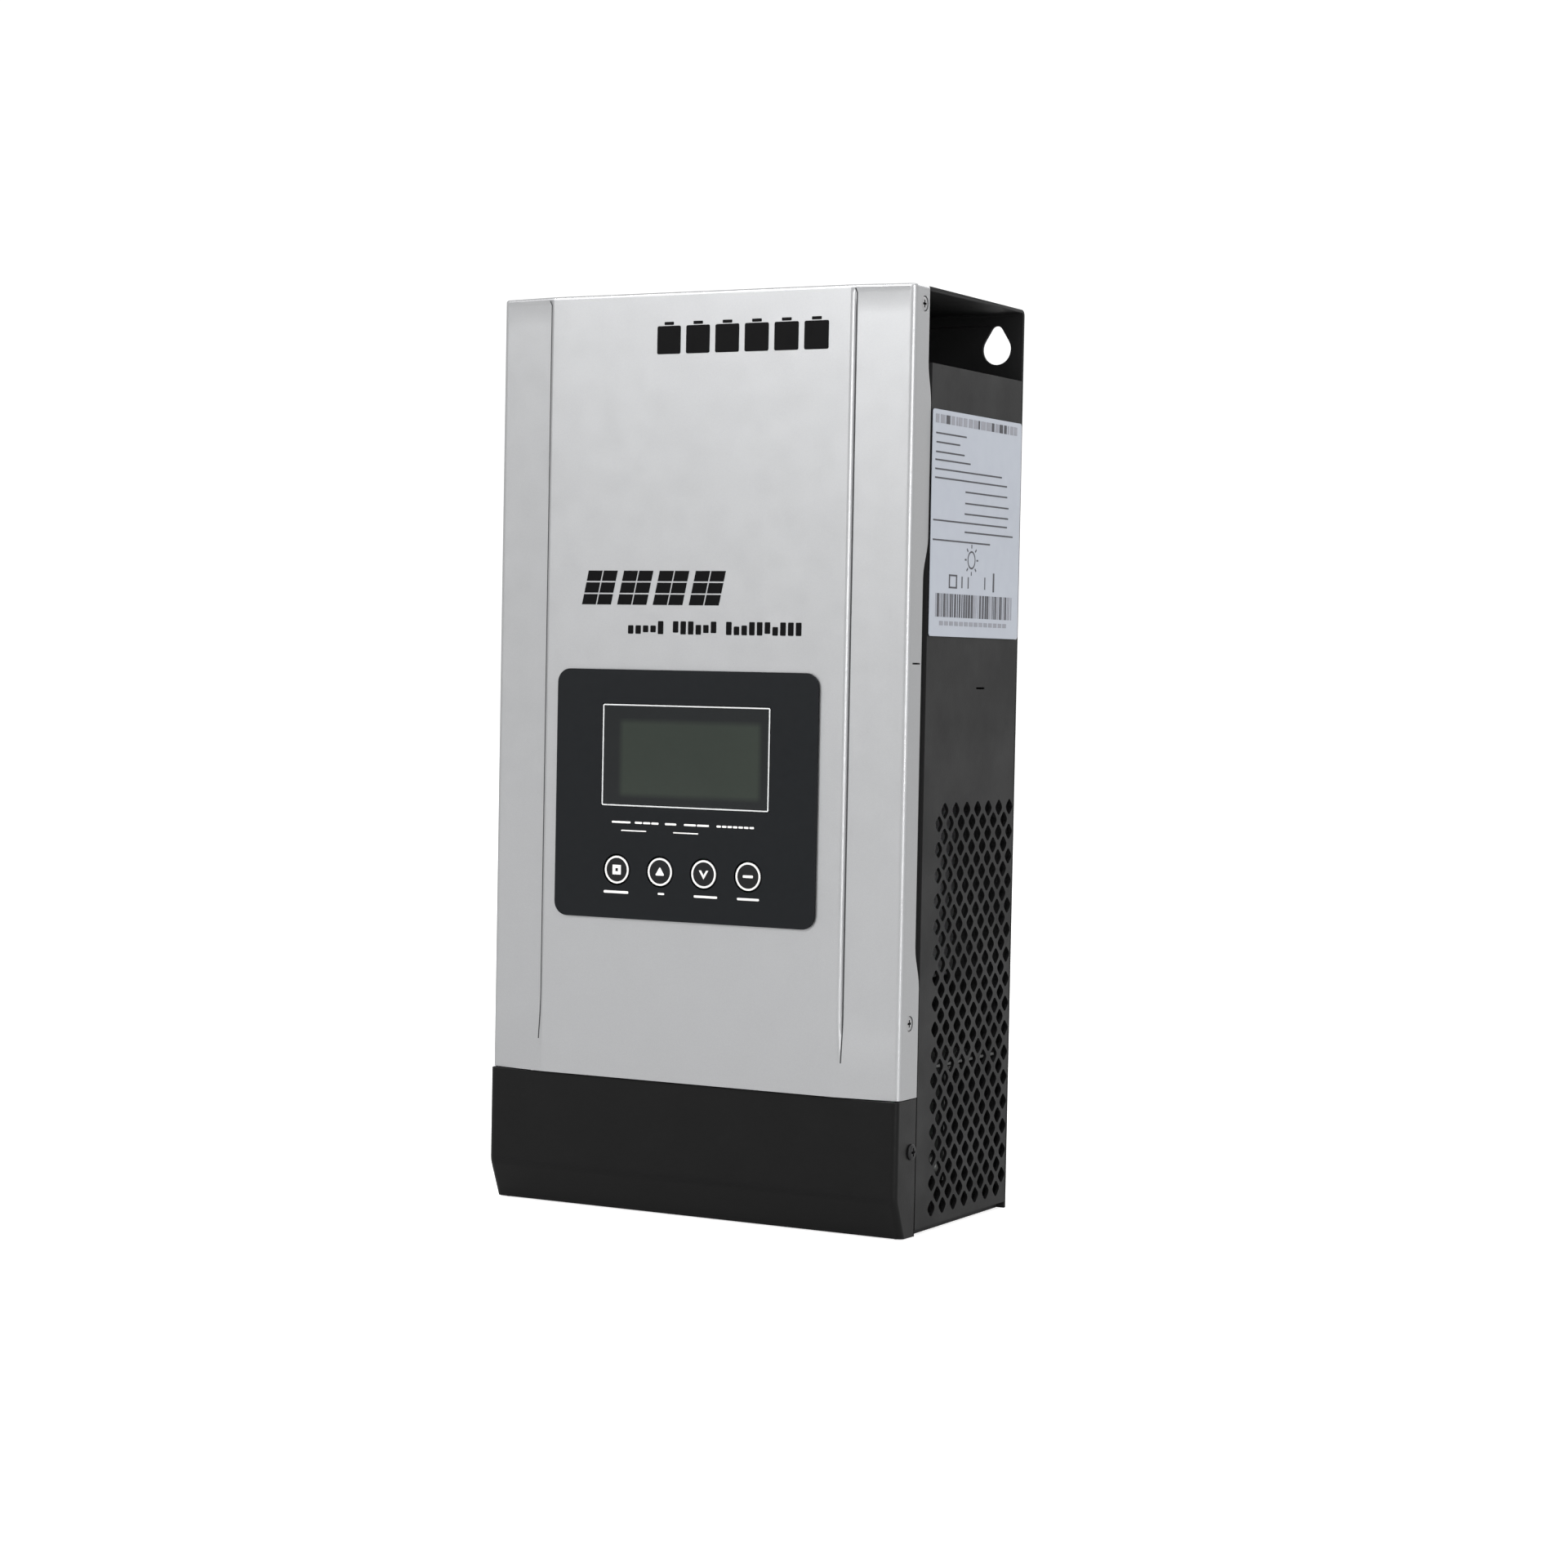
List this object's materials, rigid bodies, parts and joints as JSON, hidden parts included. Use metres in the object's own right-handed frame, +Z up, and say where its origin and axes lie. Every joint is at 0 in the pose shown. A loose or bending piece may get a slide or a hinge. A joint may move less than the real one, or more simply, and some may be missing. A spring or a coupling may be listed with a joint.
{
  "type": "charge controller",
  "caption": "Wall-mounted charge controller: folded silver front cover with a display panel and round buttons, black wiring cover, vented sides and an open hanging recess.",
  "frame": {"origin": "on the surface the case stands on, under the middle of its box", "axes": "+Z up the case, -Y out of the display, +Y towards the wall, +X to the right seen from the front"},
  "size_m": [0.1674, 0.0932, 0.325],
  "materials": {
    "silver_paint": "satin silver paint",
    "black_paint": "satin black paint",
    "grey_paint": "satin dark grey paint",
    "zinc_plate": "zinc plated",
    "bezel_plastic": "smooth dark plastic",
    "lcd_glass": "clear window over a switched-off display",
    "module_plastic": "moulded plastic",
    "circuit_board": "green solder mask",
    "button_plastic": "dark moulded plastic",
    "switch_metal": "tinned steel",
    "ribbon": "grey flat cable",
    "aluminium": "extruded",
    "capacitor_sleeve": "shrink sleeve",
    "copper_winding": "lacquered copper wire",
    "epoxy": "moulded epoxy",
    "terminal_plastic": "moulded nylon",
    "green_plastic": "moulded nylon",
    "nickel_screw": "nickel plated",
    "black_screw": "black oxide",
    "rubber": "moulded rubber",
    "fan_plastic": "moulded plastic",
    "label_film": "printed film"
  },
  "bodies": {
    "case": {"back_plate": "black_paint", "board_standoff_1": "nickel_screw", "board_standoff_2": "nickel_screw", "board_standoff_3": "nickel_screw", "board_standoff_4": "nickel_screw", "body_top_panel": "black_paint", "bottom_panel": "black_paint", "cable_grommet_left": "rubber", "cable_grommet_middle": "rubber", "capacitor_1": "capacitor_sleeve", "capacitor_2": "capacitor_sleeve", "capacitor_3": "capacitor_sleeve", "capacitor_4": "capacitor_sleeve", "clamp_screw_1": "nickel_screw", "clamp_screw_2": "nickel_screw", "clamp_screw_3": "nickel_screw", "clamp_screw_4": "nickel_screw", "comms_port": "module_plastic", "cover_screw_left_lower": "nickel_screw", "cover_screw_left_upper": "nickel_screw", "cover_screw_right_lower": "nickel_screw", "cover_screw_right_upper": "nickel_screw", "display_bezel": "bezel_plastic", "display_board": "circuit_board", "dry_contact_terminal": "green_plastic", "fan_frame": "fan_plastic", "front_cover": "silver_paint", "ground_screw": "nickel_screw", "heatsink": "aluminium", "inductor_left": "copper_winding", "inductor_right": "copper_winding", "interface_board": "circuit_board", "lcd_module": "module_plastic", "lcd_window": "lcd_glass", "power_board": "circuit_board", "rating_label": "label_film", "ribbon_cable": "ribbon", "shelf_plate": "zinc_plate", "side_panel_left": "grey_paint", "side_panel_right": "grey_paint", "signal_grommet": "rubber", "switch_down": "switch_metal", "switch_enter": "switch_metal", "switch_menu": "switch_metal", "switch_up": "switch_metal", "temperature_sensor_socket": "terminal_plastic", "terminal_block": "terminal_plastic", "terminal_bracket": "zinc_plate", "terminal_screw_left": "black_screw", "terminal_screw_right": "black_screw", "transistor_1": "epoxy", "transistor_2": "epoxy", "transistor_3": "epoxy", "transistor_4": "epoxy"},
    "terminal_cover_body": {"terminal_cover": "black_paint"},
    "button_menu_body": {"button_menu": "button_plastic"},
    "button_up_body": {"button_up": "button_plastic"},
    "button_down_body": {"button_down": "button_plastic"},
    "button_enter_body": {"button_enter": "button_plastic"},
    "fan_rotor_body": {"fan_rotor": "fan_plastic"}
  },
  "joints": [
    {"name": "terminal_cover_slide", "type": "slide", "parent": "case", "child": "terminal_cover_body", "axis": [0, -1, 0], "range_m": [0, 0.06]},
    {"name": "fan_spin", "type": "hinge", "parent": "case", "child": "fan_rotor_body", "pos_m": [0, 0.0141, 0.0611], "axis": [0, 0, 1], "continuous": true},
    {"name": "button_menu_press", "type": "slide", "parent": "case", "child": "button_menu_body", "axis": [0, 1, 0], "range_m": [0, 0.0008], "stiffness_N_per_m": 600, "springref_m": -0.0005},
    {"name": "button_up_press", "type": "slide", "parent": "case", "child": "button_up_body", "axis": [0, 1, 0], "range_m": [0, 0.0008], "stiffness_N_per_m": 600, "springref_m": -0.0005},
    {"name": "button_down_press", "type": "slide", "parent": "case", "child": "button_down_body", "axis": [0, 1, 0], "range_m": [0, 0.0008], "stiffness_N_per_m": 600, "springref_m": -0.0005},
    {"name": "button_enter_press", "type": "slide", "parent": "case", "child": "button_enter_body", "axis": [0, 1, 0], "range_m": [0, 0.0008], "stiffness_N_per_m": 600, "springref_m": -0.0005}
  ]
}
